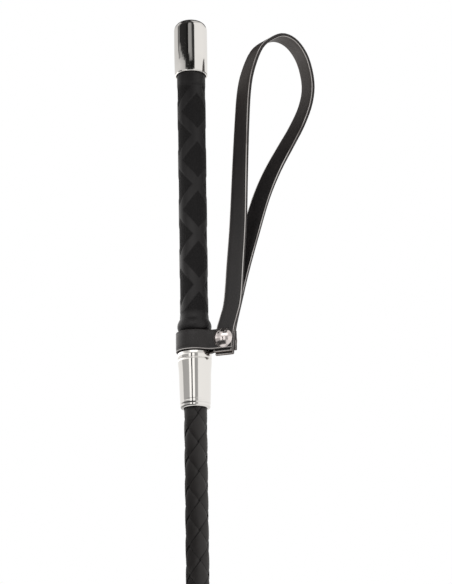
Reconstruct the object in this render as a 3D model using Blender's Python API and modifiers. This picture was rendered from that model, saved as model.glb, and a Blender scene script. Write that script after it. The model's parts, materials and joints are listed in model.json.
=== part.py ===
"""Riding crop, 650 mm long, held upright: cap up, flap down, wrist loop at +X.

The origin is on the crop's axis, in the middle of the grip. Lengths named below are in
millimetres, and the functions turn them into metres.
"""

import math

import bmesh
import bpy
from mathutils import Matrix, Vector

MM = 0.001
GAP = 0.3  # clearance that neighbouring pieces keep
CUTTER_LENGTH = 20.0  # longer than anything it goes through

# Stations along the axis, from the butt down to the tip
TOTAL_LENGTH = 650.0
GRIP_LENGTH = 144.0
CAP_LENGTH = 33.5
FLANGE_LENGTH = 8.0
COLLAR_WIDTH = 11.0
FERRULE_LENGTH = 31.5
CAP_RIM_Z = GRIP_LENGTH / 2
CAP_TOP_Z = CAP_RIM_Z + CAP_LENGTH
FLANGE_Z = -GRIP_LENGTH / 2
NECK_TOP_Z = FLANGE_Z - FLANGE_LENGTH
COLLAR_Z = NECK_TOP_Z - GAP - COLLAR_WIDTH / 2
FERRULE_TOP_Z = NECK_TOP_Z - 2 * GAP - COLLAR_WIDTH
FERRULE_END_Z = FERRULE_TOP_Z - FERRULE_LENGTH
TIP_Z = CAP_TOP_Z - TOTAL_LENGTH

# Radii of the handle and the neck
CAP_RADIUS = 9.5
CAP_WALL = 0.8
CAP_SHOULDER = 4.6
SPIGOT_RADIUS = 4.4
SPIGOT_BELOW_TOP = 9.0
SHOULDER_IN_CAP = 4.0
GRIP_TOP_RADIUS = 8.1
GRIP_END_RADIUS = 7.85
FLANGE_RADIUS = 9.45
CORE_RADIUS = 6.5
NECK_RADIUS = 8.1
FERRULE_TOP_RADIUS = 9.2
FERRULE_END_RADIUS = 8.2
FERRULE_BORE = 7.6

# The rod and its plait: even below the ferrule, then tapering to the tip
ROD_RADIUS = 4.9
ROD_TIP_RADIUS = 2.0
ROD_TOP_Z = 60.0
TAPER_TOP_Z = -230.0
PLAIT_THICKNESS = 1.2
PLAIT_TOP_Z = FERRULE_TOP_Z - 3.0

# The leather collar, its tab and the rivet
COLLAR_THICKNESS = 1.9
STRAP_THICKNESS = 2.0
STRAP_WIDTH = 10.6
EDGE_ROUND = 0.5
STRAP_HOLE_DEPTH = 8.0  # goes through the two tails and nothing above them
TAB_TURN = math.radians(-20)
TAB_END = 23.3
TAB_INWARD_RADIUS = 9.0  # of the bend from the neck into the tab
RIVET_REACH = 18.3
RIVET_HEAD_RADIUS = 5.45
RIVET_HEAD_HEIGHT = 2.6
RIVET_POST_RADIUS = 1.6
WASHER_THICKNESS = 0.8
COLLAR_OFFSET = STRAP_THICKNESS + 1.5 * GAP + COLLAR_THICKNESS / 2

# Hand-chosen route of the wrist strap's front edge, from the tail in front of the stack,
# up, over and down to the tail behind: out from the rivet, back, up, and the turn of the
# strap's width about the vertical, in degrees.
STRAP_ROUTE = (
    (3.85, -1.15, -7.0, 0),
    (4.85, -1.15, 0.0, 0),
    (5.9, -1.15, 6.5, 0),
    (7.8, -0.9, 13.0, 1),
    (10.0, -0.6, 22.0, 2),
    (11.9, -0.5, 44.0, 5),
    (13.8, -0.8, 67.0, 9.5),
    (15.0, -1.0, 95.0, 17),
    (16.1, -0.7, 122.0, 23.5),
    (17.5, -0.2, 144.0, 26.5),
    (19.5, 1.8, 158.0, 29),
    (23.1, 6.6, 172.0, 32),
    (28.0, 13.0, 179.7, 34),
    (32.8, 19.8, 183.4, 36),
    (37.9, 27.0, 181.2, 37),
    (41.8, 33.6, 173.0, 37),
    (43.6, 37.0, 159.3, 35),
    (42.6, 36.0, 146.0, 27),
    (38.8, 32.2, 131.5, 16),
    (34.0, 28.0, 119.0, 8),
    (27.2, 22.2, 102.0, 1),
    (21.6, 17.0, 84.0, -3),
    (16.2, 11.8, 60.5, -3),
    (11.6, 7.2, 39.0, -1),
    (8.1, 3.6, 20.0, 0),
    (6.1, 1.4, 8.5, 0),
    (4.85, 1.15, 0.0, 0),
    (4.05, 1.15, -8.2, 0),
)
STRAP_STEPS = 2

# The flap at the tip
FLAP_WIDTH = 24.0
FLAP_NECK_WIDTH = 11.0
FLAP_THICKNESS = 1.6
FLAP_CORNER = 6.0
HINGE_ABOVE_TIP = 50.0
HINGE_Z = TIP_Z + HINGE_ABOVE_TIP
SHOULDER_LENGTH = 13.0
NECK_SLEEVE_RADIUS = 4.6
NECK_SLEEVE_TOP_Z = HINGE_Z + 24.0
NECK_ROUND_END_Z = HINGE_Z + 11.0
PLAIT_END_Z = HINGE_Z + 15.0
ROD_END_Z = HINGE_Z + 11.5
THREAD_RADIUS = 0.35
STITCH_HOLE_RADIUS = 0.7
STITCH_INSET = 3.0
STITCH_SPACES = 17
FLAP_HALF_DEPTH = FLAP_THICKNESS + GAP / 2
NECK_END = 1.3  # above the bending line
PLY_TOP = 1.6  # above the bending line, before its end is rounded


def clear_scene():
    for old in list(bpy.data.objects):
        bpy.data.objects.remove(old, do_unlink=True)


def new_collection(name):
    collection = bpy.data.collections.new(name)
    bpy.context.scene.collection.children.link(collection)
    return collection


def new_material(name, colour, roughness, metallic=0.0):
    material = bpy.data.materials.new(name)
    material.use_nodes = True
    shader = material.node_tree.nodes["Principled BSDF"]
    shader.inputs["Base Color"].default_value = (*colour, 1.0)
    shader.inputs["Roughness"].default_value = roughness
    shader.inputs["Metallic"].default_value = metallic
    material.diffuse_color = (*colour, 1.0)
    return material


def add_object(name, data, material=None, parent=None):
    obj = bpy.data.objects.new(name, data)
    crop.objects.link(obj)
    obj.parent = parent
    if material:
        data.materials.append(material)
    return obj


def add_empty(name, location, turn=0.0, parent=None):
    empty = add_object(name, None, parent=parent)
    empty.location = Vector(location) * MM
    empty.rotation_euler.z = turn
    empty.empty_display_size = 0.01
    return empty


def turned(name, profile, material, parent=None, steps=32, closed=False):
    """A turned piece. The profile is (radius, height) down the outer side, from the axis
    to the axis, or a closed ring that goes back up its inner side."""
    mesh = bpy.data.meshes.new(name)
    points = [(radius * MM, 0, height * MM) for radius, height in profile]
    edges = [(i, i + 1) for i in range(len(points) - 1)]
    if closed:
        edges.append((len(points) - 1, 0))
    mesh.from_pydata(points, edges, [])
    obj = add_object(name, mesh, material, parent)
    screw = obj.modifiers.new("Turn", "SCREW")
    screw.steps = screw.render_steps = steps
    screw.use_merge_vertices = True
    screw.merge_threshold = 0.00001
    screw.use_smooth_shade = True
    return obj


def arc(centre, radius, start, end, steps):
    """Points on a circle about centre, from one angle in degrees to another."""
    angles = [math.radians(start + (end - start) * i / steps) for i in range(steps + 1)]
    return [(centre[0] + radius * math.cos(a), centre[1] + radius * math.sin(a)) for a in angles]


def cylinder_cutter(name, radius, length, location, rotation, parent=None, sides=16):
    """A plain cylinder that Booleans subtract."""
    mesh = bpy.data.meshes.new(name)
    bm = bmesh.new()
    bmesh.ops.create_cone(
        bm,
        cap_ends=True,
        segments=sides,
        radius1=radius * MM,
        radius2=radius * MM,
        depth=length * MM,
    )
    bm.to_mesh(mesh)
    bm.free()
    cutter = bpy.data.objects.new(name, mesh)
    cutters.objects.link(cutter)
    cutter.parent = parent
    cutter.location = Vector(location) * MM
    cutter.rotation_euler = rotation
    cutter.hide_render = True
    cutter.display_type = "WIRE"
    return cutter


def cut(obj, cutter):
    boolean = obj.modifiers.new("Cut " + cutter.name, "BOOLEAN")
    boolean.operation = "DIFFERENCE"
    boolean.object = cutter


def strip_mesh(name, edge, sideways):
    """An open strip: a line of points, extruded by one sideways step for each point."""
    bm = bmesh.new()
    first = [bm.verts.new(Vector(point) * MM) for point in edge]
    lines = [bm.edges.new(pair) for pair in zip(first, first[1:])]
    grown = bmesh.ops.extrude_edge_only(bm, edges=lines)["geom"]
    moved = [part for part in grown if isinstance(part, bmesh.types.BMVert)]
    step_of = {tuple(vert.co): step for vert, step in zip(first, sideways)}
    for vert in moved:
        vert.co += Vector(step_of[tuple(vert.co)]) * MM
    mesh = bpy.data.meshes.new(name)
    bm.to_mesh(mesh)
    bm.free()
    return mesh


def leather_strip(name, mesh, thickness, material, parent):
    obj = add_object(name, mesh, material, parent)
    solid = obj.modifiers.new("Thickness", "SOLIDIFY")
    solid.thickness = thickness * MM
    solid.offset = 0.0
    solid.use_even_offset = True
    bevel = obj.modifiers.new("Rounded edges", "BEVEL")
    bevel.width = EDGE_ROUND * MM
    bevel.segments = 1
    bevel.limit_method = "ANGLE"
    bevel.angle_limit = math.radians(50)
    return obj


def smooth_route(points, steps):
    """A Catmull-Rom curve through the points, with this many steps a span."""
    ends = [points[0], *points, points[-1]]
    route = []
    for before, start, end, after in zip(ends, ends[1:], ends[2:], ends[3:]):
        a, b, c, d = (Vector(point) for point in (before, start, end, after))
        for i in range(steps):
            t = i / steps
            rise = (c - a) * t + (2 * a - 5 * b + 4 * c - d) * t**2
            route.append(b + (rise + (3 * b - 3 * c + d - a) * t**3) / 2)
    return [*route, Vector(points[-1])]


def rod_radius(height):
    """The rod's radius at a height: even, then an even taper to its end."""
    along = (TAPER_TOP_Z - height) / (TAPER_TOP_Z - ROD_END_Z)
    along = min(max(along, 0.0), 1.0)
    return ROD_RADIUS + (ROD_TIP_RADIUS - ROD_RADIUS) * along


def grip_radius(height):
    """The sleeve's outer radius: a slight taper down to the flange."""
    along = (CAP_RIM_Z - height) / GRIP_LENGTH
    return GRIP_TOP_RADIUS + (GRIP_END_RADIUS - GRIP_TOP_RADIUS) * along


def add_rod():
    profile = (
        (0, ROD_TOP_Z),
        (ROD_RADIUS - 0.5, ROD_TOP_Z),
        (ROD_RADIUS, ROD_TOP_Z - 0.5),
        (ROD_RADIUS, TAPER_TOP_Z),
        (ROD_TIP_RADIUS, ROD_END_Z + 0.5),
        (ROD_TIP_RADIUS - 0.5, ROD_END_Z),
        (0, ROD_END_Z),
    )
    turned("core_rod", profile, fibreglass, steps=24)


def add_handle():
    spigot = SPIGOT_RADIUS
    spigot_top = CAP_TOP_Z - SPIGOT_BELOW_TOP
    shoulder = CAP_RIM_Z + SHOULDER_IN_CAP
    bore = ROD_RADIUS + GAP
    core = (
        (0, spigot_top),
        (spigot - 0.6, spigot_top),
        (spigot, spigot_top - 0.6),
        (spigot, shoulder),
        (CORE_RADIUS, shoulder),
        (CORE_RADIUS, NECK_TOP_Z + GAP),
        (bore, NECK_TOP_Z + GAP),
        (bore, ROD_TOP_Z + GAP),
        (0, ROD_TOP_Z + GAP),
    )
    turned("handle_core", core, hardwood, steps=24)

    plug_radius = CAP_RADIUS - CAP_WALL - GAP
    plug_top = CAP_TOP_Z - CAP_WALL - GAP
    plug_bottom = shoulder + GAP
    socket = spigot + GAP
    plug = (
        (0, plug_top),
        (plug_radius - 4.0, plug_top),
        (plug_radius - 1.2, plug_top - 1.2),
        (plug_radius, plug_top - 4.0),
        (plug_radius, plug_bottom),
        (socket, plug_bottom),
        (socket, spigot_top + GAP),
        (0, spigot_top + GAP),
    )
    turned("cap_plug", plug, hardwood, steps=24)

    flange_middle = FLANGE_Z - 4.7
    bore = CORE_RADIUS + GAP
    sleeve = [
        (bore, shoulder - GAP),
        (GRIP_TOP_RADIUS, shoulder - GAP),
        (GRIP_TOP_RADIUS, CAP_RIM_Z),
        (grip_radius(0), 0),
        (GRIP_END_RADIUS, FLANGE_Z + 0.8),
        (GRIP_END_RADIUS + 0.25, FLANGE_Z - 0.6),
        (GRIP_END_RADIUS + 0.9, FLANGE_Z - 1.9),
        (FLANGE_RADIUS - 0.2, FLANGE_Z - 3.2),
        (FLANGE_RADIUS, flange_middle),
        (FLANGE_RADIUS - 0.25, FLANGE_Z - 6.2),
        (FLANGE_RADIUS - 1.0, NECK_TOP_Z + 0.5),
        (FLANGE_RADIUS - 1.6, NECK_TOP_Z),
        (bore, NECK_TOP_Z),
    ]
    turned("grip_sleeve", sleeve, moulded_grip, steps=36, closed=True)


def add_cap():
    bend = (CAP_RADIUS - CAP_SHOULDER, CAP_TOP_Z - CAP_SHOULDER)
    outer = arc(bend, CAP_SHOULDER, 90, 0, 6)
    inner = arc(bend, CAP_SHOULDER - CAP_WALL, 0, 90, 4)
    rim_radius = CAP_RADIUS - 0.15
    lip_radius = GRIP_TOP_RADIUS + GAP
    profile = [
        (0, CAP_TOP_Z),
        *outer,
        (CAP_RADIUS, CAP_RIM_Z + 14.0),
        (rim_radius, CAP_RIM_Z + 0.5),
        (rim_radius - 0.4, CAP_RIM_Z),
        (lip_radius, CAP_RIM_Z),
        (lip_radius, CAP_RIM_Z + 0.9),
        (rim_radius - CAP_WALL, CAP_RIM_Z + 1.6),
        *inner,
        (0, CAP_TOP_Z - CAP_WALL),
    ]
    turned("end_cap", profile, chrome, steps=40)


def add_neck():
    bore = ROD_RADIUS + GAP
    bush = (
        (bore, NECK_TOP_Z - GAP),
        (NECK_RADIUS - 0.4, NECK_TOP_Z - GAP),
        (NECK_RADIUS, NECK_TOP_Z - GAP - 0.4),
        (NECK_RADIUS, FERRULE_TOP_Z + GAP + 0.4),
        (NECK_RADIUS - 0.4, FERRULE_TOP_Z + GAP),
        (bore, FERRULE_TOP_Z + GAP),
    )
    turned("neck_bush", bush, bush_plastic, steps=32, closed=True)

    groove_top = FERRULE_TOP_Z - 3.7
    waist = FERRULE_TOP_Z - 16.0
    mouth = rod_radius(FERRULE_END_Z) + PLAIT_THICKNESS + GAP
    ferrule = [
        (bore, FERRULE_TOP_Z),
        (FERRULE_TOP_RADIUS - 0.5, FERRULE_TOP_Z),
        (FERRULE_TOP_RADIUS, FERRULE_TOP_Z - 0.5),
        (FERRULE_TOP_RADIUS, groove_top),
        (FERRULE_TOP_RADIUS - 0.35, groove_top - 0.35),
        (FERRULE_TOP_RADIUS - 0.35, groove_top - 0.95),
        (FERRULE_TOP_RADIUS - 0.1, groove_top - 1.3),
        (FERRULE_TOP_RADIUS - 0.55, waist + 7.0),
        (FERRULE_END_RADIUS + 0.25, waist),
        (FERRULE_END_RADIUS, FERRULE_END_Z + 3.0),
        (FERRULE_END_RADIUS - 0.3, FERRULE_END_Z + 2.6),
        (FERRULE_END_RADIUS - 0.05, FERRULE_END_Z + 2.1),
        (FERRULE_END_RADIUS, FERRULE_END_Z + 1.3),
        (FERRULE_END_RADIUS - 0.35, FERRULE_END_Z + 0.4),
        (FERRULE_END_RADIUS - 1.0, FERRULE_END_Z),
        (mouth, FERRULE_END_Z),
        (mouth, FERRULE_END_Z + 3.5),
        (FERRULE_BORE, FERRULE_END_Z + 6.0),
        (FERRULE_BORE, FERRULE_TOP_Z - 1.5),
        (bore, FERRULE_TOP_Z - 1.5),
    ]
    turned("ferrule", ferrule, chrome, steps=40, closed=True)

    inner = ROD_RADIUS + PLAIT_THICKNESS + GAP
    whipping = ring_of_turns(inner, 0.9, PLAIT_TOP_Z - 1.0, 0.9, 10)
    turned("upper_whipping", whipping, thread, steps=24, closed=True)


def ring_of_turns(inner, height, top, pitch, turns):
    """Ring profile of thread wound side by side: a crown for each turn."""
    profile = [(inner, top)]
    for turn in range(turns):
        upper = top - turn * pitch
        profile.append((inner + 0.75 * height, upper))
        profile.append((inner + height, upper - pitch / 2))
    profile.append((inner + 0.75 * height, top - turns * pitch))
    profile.append((inner, top - turns * pitch))
    return profile


def add_plait():
    heights = (PLAIT_TOP_Z, FERRULE_END_Z, TAPER_TOP_Z, (TAPER_TOP_Z + PLAIT_END_Z) / 2, PLAIT_END_Z)
    outer = [(rod_radius(z) + PLAIT_THICKNESS, z) for z in heights]
    inner = [(rod_radius(z) + GAP, z) for z in heights]
    turned("plaited_cover", [*outer, *reversed(inner)], plait, steps=28, closed=True)


def collar_line():
    """Middle line of the collar's leather, seen from above: tab, round the neck, tab."""
    around = NECK_RADIUS + GAP + COLLAR_THICKNESS / 2
    inward = TAB_INWARD_RADIUS
    reach = math.sqrt((around + inward) ** 2 - (COLLAR_OFFSET + inward) ** 2)
    lean = math.degrees(math.atan2(COLLAR_OFFSET + inward, reach))
    front = [(TAB_END, -COLLAR_OFFSET), (RIVET_REACH, -COLLAR_OFFSET)]
    front += arc((reach, -COLLAR_OFFSET - inward), inward, 90, 180 - lean, 5)
    back = [(u, -v) for u, v in reversed(front)]
    return front + arc((0, 0), around, -lean, lean - 360, 30)[1:-1] + back


def add_collar():
    line = collar_line()
    edge = [(u, v, -COLLAR_WIDTH / 2) for u, v in line]
    mesh = strip_mesh("collar_strap", edge, [(0, 0, COLLAR_WIDTH)] * len(edge))
    collar = leather_strip("collar_strap", mesh, COLLAR_THICKNESS, leather, collar_frame)
    hole = cylinder_cutter(
        "collar_rivet_hole",
        RIVET_POST_RADIUS + GAP,
        CUTTER_LENGTH,
        (RIVET_REACH, 0, 0),
        (math.pi / 2, 0, 0),
        collar_frame,
    )
    cut(collar, hole)


def add_strap():
    route = smooth_route([(out, back, up, turn) for out, back, up, turn in STRAP_ROUTE], STRAP_STEPS)
    edge = [point[:3] for point in route]
    turns = [math.radians(point[3]) for point in route]
    sideways = [(-STRAP_WIDTH * math.cos(a), STRAP_WIDTH * math.sin(a), 0) for a in turns]
    mesh = strip_mesh("wrist_loop", edge, sideways)
    strap = leather_strip("wrist_loop", mesh, STRAP_THICKNESS, leather, pivot_frame)
    hole = cylinder_cutter(
        "strap_rivet_hole",
        RIVET_POST_RADIUS + GAP,
        STRAP_HOLE_DEPTH,
        (0, 0, 0),
        (math.pi / 2, 0, 0),
        pivot_frame,
    )
    cut(strap, hole)


def add_rivet():
    face = COLLAR_OFFSET + COLLAR_THICKNESS / 2 + GAP
    dome_radius = (RIVET_HEAD_RADIUS**2 + RIVET_HEAD_HEIGHT**2) / (2 * RIVET_HEAD_HEIGHT)
    dome_base = math.degrees(math.acos(RIVET_HEAD_RADIUS / dome_radius))
    dome_centre = (0, face + 0.3 + RIVET_HEAD_HEIGHT - dome_radius)
    washer = WASHER_THICKNESS
    clinch = -face - washer - GAP
    profile = [
        *arc(dome_centre, dome_radius, 90, dome_base, 6),
        (RIVET_HEAD_RADIUS, face + 0.2),
        (RIVET_HEAD_RADIUS - 0.2, face),
        (RIVET_POST_RADIUS, face),
        (RIVET_POST_RADIUS, clinch),
        (2.6, clinch),
        (2.4, clinch - 0.5),
        (1.2, clinch - 0.8),
        (0, clinch - 0.8),
    ]
    head = turned("rivet_cap", profile, chrome, collar_frame, steps=28)
    back = [
        (RIVET_POST_RADIUS + GAP, -face),
        (4.7, -face),
        (4.9, -face - 0.2),
        (4.7, -face - washer + 0.2),
        (4.3, -face - washer),
        (RIVET_POST_RADIUS + GAP, -face - washer),
    ]
    washer_piece = turned("rivet_back", back, chrome, collar_frame, steps=28, closed=True)
    for piece in (head, washer_piece):
        piece.location = Vector((RIVET_REACH, 0, 0)) * MM
        piece.rotation_euler.x = math.pi / 2


def plate_mesh(name, outline, thickness):
    """A flat piece in the XZ plane with this outline, as a mesh."""
    curve = bpy.data.curves.new(name + "_outline", "CURVE")
    curve.dimensions = "2D"
    curve.fill_mode = "BOTH"
    curve.extrude = thickness * MM / 2
    spline = curve.splines.new("POLY")
    spline.points.add(len(outline) - 1)
    for point, (across, up) in zip(spline.points, outline):
        point.co = (across * MM, up * MM, 0, 1)
    spline.use_cyclic_u = True
    guide = bpy.data.objects.new(name + "_outline", curve)
    crop.objects.link(guide)
    graph = bpy.context.evaluated_depsgraph_get()
    mesh = bpy.data.meshes.new_from_object(guide.evaluated_get(graph))
    bpy.data.objects.remove(guide)
    bpy.data.curves.remove(curve)
    bm = bmesh.new()
    bm.from_mesh(mesh)
    bmesh.ops.remove_doubles(bm, verts=bm.verts, dist=0.000001)
    bmesh.ops.transform(bm, matrix=Matrix.Rotation(math.pi / 2, 4, "X"), verts=bm.verts)
    bm.to_mesh(mesh)
    bm.free()
    return mesh


def flap_outline():
    """Outline of a ply, about the bending line: narrow neck, shoulders, rounded end."""
    top = PLY_TOP
    bottom = -HINGE_ABOVE_TIP
    half = FLAP_WIDTH / 2
    neck = FLAP_NECK_WIDTH / 2
    corner = arc((half - FLAP_CORNER, bottom + FLAP_CORNER), FLAP_CORNER, 0, -90, 5)
    side = [(neck, top), (neck, -2.0), (neck + 1.2, -5.0), (half - 1.6, -SHOULDER_LENGTH + 2.6)]
    side += [(half, -SHOULDER_LENGTH - 1.5), *corner]
    return side + [(-across, up) for across, up in reversed(side)]


def stitch_points():
    """Holes along both sides and the end of the flap, evenly spaced, about the hinge."""
    side = FLAP_WIDTH / 2 - STITCH_INSET
    top = -SHOULDER_LENGTH - 3.0
    bottom = -HINGE_ABOVE_TIP + STITCH_INSET
    radius = FLAP_CORNER - STITCH_INSET
    corner = arc((side - radius, bottom + radius), radius, 0, -90, 8)
    path = [(side, top), *corner]
    path += [(-across, up) for across, up in reversed(path)]
    lengths = [math.dist(a, b) for a, b in zip(path, path[1:])]
    spacing = sum(lengths) / STITCH_SPACES
    holes = []
    for number in range(STITCH_SPACES + 1):
        left = number * spacing
        for start, end, length in zip(path, path[1:], lengths):
            if left <= length or end == path[-1]:
                holes.append(Vector(start).lerp(Vector(end), min(left / length, 1.0)))
                break
            left -= length
    return holes


def add_flap():
    offset = (FLAP_THICKNESS + GAP) / 2
    holes = stitch_points()
    needles = [
        cylinder_cutter(
            f"stitch_hole_{number + 1:02d}",
            STITCH_HOLE_RADIUS,
            CUTTER_LENGTH,
            (across, 0, up),
            (math.pi / 2, 0, 0),
            hinge_frame,
            sides=8,
        )
        for number, (across, up) in enumerate(holes)
    ]
    cove = cove_cutter()
    for name, side in (("flap_front", -1), ("flap_back", 1)):
        mesh = plate_mesh(name, flap_outline(), FLAP_THICKNESS)
        ply = add_object(name, mesh, leather, hinge_frame)
        ply.location.y = side * offset * MM
        for cutter in (*needles, cove):
            cut(ply, cutter)

    run = offset + FLAP_THICKNESS / 2 + GAP + THREAD_RADIUS
    curve = bpy.data.curves.new("flap_stitches", "CURVE")
    curve.dimensions = "3D"
    curve.bevel_depth = THREAD_RADIUS * MM
    curve.bevel_resolution = 1
    curve.use_fill_caps = True
    spline = curve.splines.new("POLY")
    points = []
    for number, (across, up) in enumerate(holes):
        first, second = (run, -run) if number % 2 == 0 else (-run, run)
        points.append((across, first, up))
        points.append((across, second, up))
    spline.points.add(len(points) - 1)
    for point, place in zip(spline.points, points):
        point.co = (*(Vector(place) * MM), 1)
    add_object("flap_stitches", curve, thread, hinge_frame)


def cove_cutter():
    """Cuts the plies' upper ends round about the bending line, so that they turn in the
    neck's hollow end without touching it."""
    side = 4.0
    round_end = arc((0, 0), FLAP_HALF_DEPTH, 0, 180, 16)
    outline = [*round_end, (-side, 0), (-side, side), (side, side), (side, 0)]
    cutter = bpy.data.objects.new("ply_end_cove", plate_mesh("ply_end_cove", outline, CUTTER_LENGTH))
    cutters.objects.link(cutter)
    cutter.parent = hinge_frame
    cutter.rotation_euler.z = math.pi / 2
    cutter.hide_render = True
    cutter.display_type = "WIRE"
    return cutter


def ellipse_ring(bm, half_width, half_depth, height, sides):
    """A ring of points in a level plane, rounder or flatter by its two half sizes."""
    ring = []
    for i in range(sides):
        angle = 2 * math.pi * i / sides
        power = 1.0 if half_width == half_depth else 0.5
        x = math.copysign(abs(math.cos(angle)) ** power, math.cos(angle)) * half_width
        y = math.copysign(abs(math.sin(angle)) ** power, math.sin(angle)) * half_depth
        ring.append(bm.verts.new((x * MM, y * MM, height * MM)))
    return ring


def add_flap_neck():
    sides = 24
    sections = (
        (NECK_SLEEVE_RADIUS - 0.3, NECK_SLEEVE_RADIUS - 0.3, NECK_SLEEVE_TOP_Z),
        (NECK_SLEEVE_RADIUS, NECK_SLEEVE_RADIUS, NECK_SLEEVE_TOP_Z - 0.5),
        (NECK_SLEEVE_RADIUS, NECK_SLEEVE_RADIUS, NECK_ROUND_END_Z),
        (5.1, 3.2, NECK_ROUND_END_Z - 3.5),
        (FLAP_NECK_WIDTH / 2, FLAP_HALF_DEPTH, HINGE_Z + 3.5),
        (FLAP_NECK_WIDTH / 2, FLAP_HALF_DEPTH, HINGE_Z + NECK_END),
    )
    bm = bmesh.new()
    rings = [ellipse_ring(bm, *section, sides) for section in sections]
    for upper, lower in zip(rings, rings[1:]):
        for i in range(sides):
            j = (i + 1) % sides
            bm.faces.new((upper[i], lower[i], lower[j], upper[j]))
    bm.faces.new(rings[0])
    bm.faces.new(reversed(rings[-1]))
    mesh = bpy.data.meshes.new("flap_neck")
    bm.to_mesh(mesh)
    bm.free()
    neck = add_object("flap_neck", mesh, leather)

    plait_fit = rod_radius(PLAIT_END_Z) + PLAIT_THICKNESS + GAP
    plait_hole = cylinder_cutter(
        "neck_plait_hole",
        plait_fit,
        2 * (NECK_SLEEVE_TOP_Z - PLAIT_END_Z + GAP),
        (0, 0, NECK_SLEEVE_TOP_Z),
        (0, 0, 0),
        sides=28,
    )
    rod_hole = cylinder_cutter(
        "neck_rod_hole",
        ROD_TIP_RADIUS + 2 * GAP,
        2 * (NECK_SLEEVE_TOP_Z - ROD_END_Z + GAP),
        (0, 0, NECK_SLEEVE_TOP_Z),
        (0, 0, 0),
        sides=24,
    )
    seat = cylinder_cutter(
        "neck_end_seat",
        FLAP_HALF_DEPTH + GAP,
        CUTTER_LENGTH,
        (0, 0, HINGE_Z),
        (0, math.pi / 2, 0),
        sides=32,
    )
    for cutter in (plait_hole, rod_hole, seat):
        cut(neck, cutter)

    binding = ring_of_turns(NECK_SLEEVE_RADIUS + GAP, 0.8, NECK_SLEEVE_TOP_Z - 1.5, 1.0, 9)
    turned("tip_binding", binding, thread, steps=24, closed=True)


clear_scene()
crop = new_collection("riding_crop")
cutters = new_collection("cutters")

chrome = new_material("polished chrome", (0.80, 0.80, 0.81), 0.06, 1.0)
leather = new_material("black bridle leather", (0.030, 0.027, 0.026), 0.42)
moulded_grip = new_material("moulded grip", (0.022, 0.021, 0.022), 0.55)
plait = new_material("black plait", (0.020, 0.020, 0.021), 0.60)
thread = new_material("waxed thread", (0.025, 0.024, 0.024), 0.65)
fibreglass = new_material("fibreglass rod", (0.55, 0.52, 0.42), 0.35)
hardwood = new_material("turned hardwood", (0.42, 0.27, 0.14), 0.60)
bush_plastic = new_material("bush plastic", (0.03, 0.03, 0.03), 0.40)

collar_frame = add_empty("collar_turn", (0, 0, COLLAR_Z), TAB_TURN)
pivot_frame = add_empty("loop_turn", (RIVET_REACH, 0, 0), parent=collar_frame)
hinge_frame = add_empty("flap_turn", (0, 0, HINGE_Z))

add_rod()
add_handle()
add_cap()
add_neck()
add_plait()
add_collar()
add_strap()
add_rivet()
add_flap()
add_flap_neck()
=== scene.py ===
import json
import math

import bmesh
import bpy
from mathutils import Matrix, Vector


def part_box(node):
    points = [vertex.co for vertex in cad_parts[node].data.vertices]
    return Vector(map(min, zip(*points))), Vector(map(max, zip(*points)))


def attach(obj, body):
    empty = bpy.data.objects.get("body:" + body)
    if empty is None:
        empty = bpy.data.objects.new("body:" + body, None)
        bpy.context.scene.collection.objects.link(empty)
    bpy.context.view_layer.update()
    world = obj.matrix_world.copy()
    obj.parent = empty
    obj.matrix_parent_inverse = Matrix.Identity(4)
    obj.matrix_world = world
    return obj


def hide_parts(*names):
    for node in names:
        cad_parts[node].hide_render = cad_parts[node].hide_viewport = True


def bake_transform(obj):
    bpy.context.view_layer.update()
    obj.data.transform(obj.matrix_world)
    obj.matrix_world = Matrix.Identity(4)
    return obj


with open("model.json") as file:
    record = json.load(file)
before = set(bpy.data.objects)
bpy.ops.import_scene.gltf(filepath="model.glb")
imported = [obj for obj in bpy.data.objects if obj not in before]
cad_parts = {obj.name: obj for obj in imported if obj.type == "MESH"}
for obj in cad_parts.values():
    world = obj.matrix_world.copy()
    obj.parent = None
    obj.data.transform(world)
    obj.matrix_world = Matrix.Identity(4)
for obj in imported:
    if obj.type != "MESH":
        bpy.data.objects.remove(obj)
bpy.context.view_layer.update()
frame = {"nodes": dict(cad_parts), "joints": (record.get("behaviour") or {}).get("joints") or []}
mm = 0.001
print("frame loaded:", len(frame["nodes"]), "nodes")


def toLinear(colour):
    parts = [int(colour[i:i + 2], 16) / 255 for i in (1, 3, 5)]
    linear = [c / 12.92 if c <= 0.04045 else ((c + 0.055) / 1.055) ** 2.4 for c in parts]
    return (*linear, 1.0)


def heightsOf(node):
    low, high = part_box(node)
    return low.z / mm, high.z / mm


def addNode(tree, kind, settings):
    # a value (node, "Output") is a link; "stops" fills a colour ramp
    node = tree.nodes.new("ShaderNode" + kind)
    for key, value in settings.items():
        if key == "stops":
            ramp = node.color_ramp
            while len(ramp.elements) < len(value):
                ramp.elements.new(1.0)
            for element, (place, colour) in zip(ramp.elements, value):
                element.position = place
                element.color = toLinear(colour)
        elif isinstance(value, tuple) and isinstance(value[0], bpy.types.Node):
            tree.links.new(value[0].outputs[value[1]], node.inputs[key])
        elif isinstance(key, int) or key in node.inputs:
            node.inputs[key].default_value = value
        else:
            setattr(node, key, value)
    return node


def newMaterial(name, shaderSettings):
    material = bpy.data.materials.new(name)
    material.use_nodes = True
    tree = material.node_tree
    tree.nodes.clear()
    shader = addNode(tree, "BsdfPrincipled", shaderSettings)
    addNode(tree, "OutputMaterial", {"Surface": (shader, "BSDF")})
    return material, tree, shader


def connect(tree, source, output, target, socket):
    tree.links.new(source.outputs[output], target.inputs[socket])


def activate(piece):
    bpy.ops.object.select_all(action="DESELECT")
    piece.select_set(True)
    bpy.context.view_layer.objects.active = piece


def startEdit(piece):
    activate(piece)
    bpy.ops.object.mode_set(mode="EDIT")


def endEdit():
    bpy.ops.object.mode_set(mode="OBJECT")


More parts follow.
